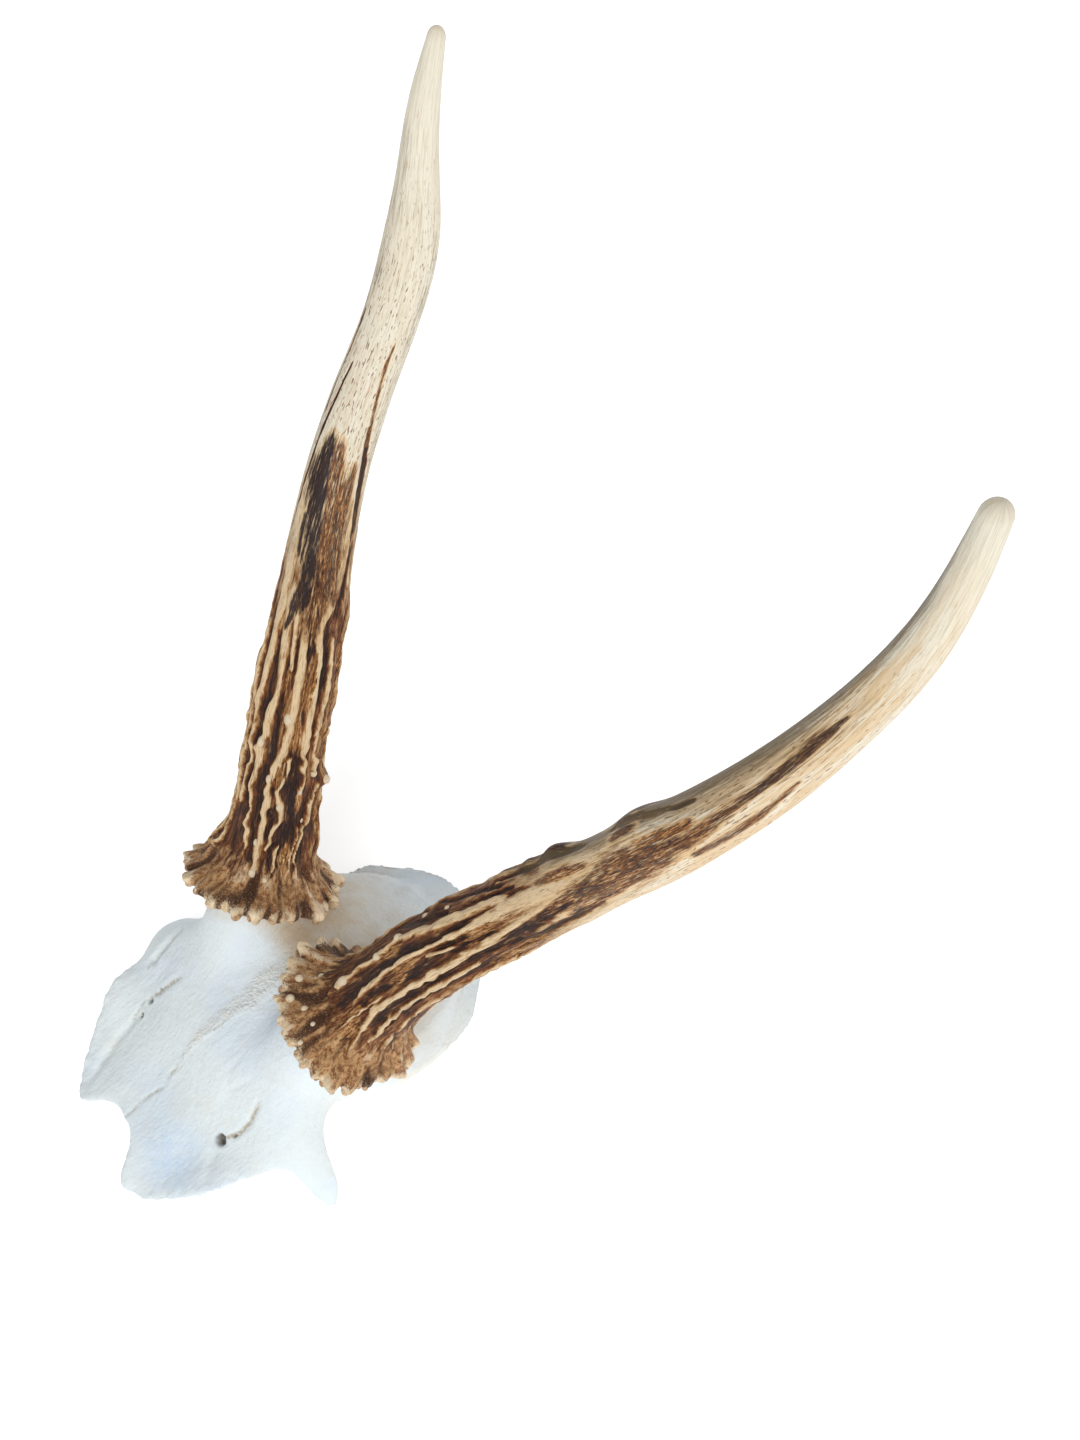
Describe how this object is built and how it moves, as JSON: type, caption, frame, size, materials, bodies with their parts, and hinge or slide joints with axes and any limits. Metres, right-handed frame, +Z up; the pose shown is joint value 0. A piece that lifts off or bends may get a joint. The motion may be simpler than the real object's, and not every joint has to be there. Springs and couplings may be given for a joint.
{
  "type": "deer antlers on skull cap",
  "caption": "Unbranched young stag's antlers with burrs, grown on a bleached skull cap that is sawn flat underneath, so it rests on a shelf or backs onto a board.",
  "frame": {"origin": "middle of the footprint of the whole object, on the plane of the saw cut that it rests on", "axes": "+X to the animal's left, +Y to the back of the head, the way the antlers sweep, +Z up from the saw cut"},
  "size_m": [0.2118, 0.2884, 0.2325],
  "materials": {
    "bone": "matt bleached bone, chalky, with a faint cool cast and rough sutures",
    "antler": "weathered antler: dark brown grooves between cream ridges, smooth ivory towards the tips"
  },
  "bodies": {
    "root": {"skull_cap": "bone", "right_antler": "antler", "left_antler": "antler"}
  },
  "joints": []
}
